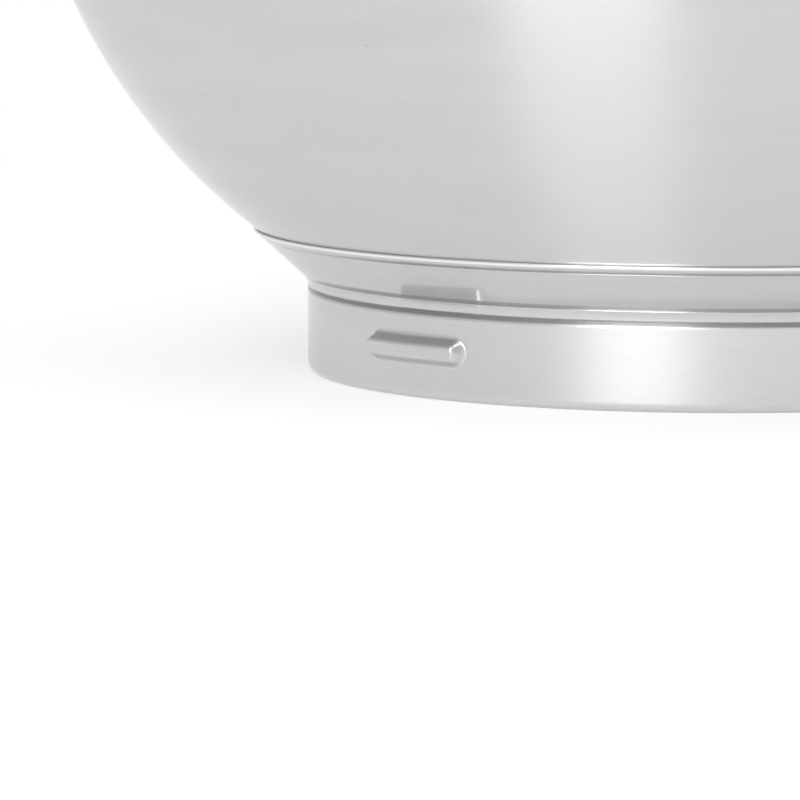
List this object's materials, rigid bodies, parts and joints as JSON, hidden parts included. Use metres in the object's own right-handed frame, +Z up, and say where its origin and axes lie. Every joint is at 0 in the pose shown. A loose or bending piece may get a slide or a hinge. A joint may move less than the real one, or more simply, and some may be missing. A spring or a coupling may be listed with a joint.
{
  "type": "stand mixer bowl",
  "caption": "Round stainless steel mixing bowl with a curled rim, and a welded foot ring whose bayonet lugs lock into a stand mixer's base.",
  "frame": {"origin": "on the bowl's axis, in the plane that the foot stands on", "axes": "+Z up along the bowl's axis, out of its mouth; the bayonet lugs lie on the diagonals between X and Y"},
  "size_m": [0.246, 0.246, 0.157],
  "materials": {
    "polished_steel": "polished stainless steel with fine turning lines round the bowl",
    "pressed_steel": "polished stainless steel sheet with a bare cut edge"
  },
  "bodies": {
    "root": {"bowl_shell": "polished_steel", "foot_ring": "pressed_steel"}
  },
  "joints": []
}
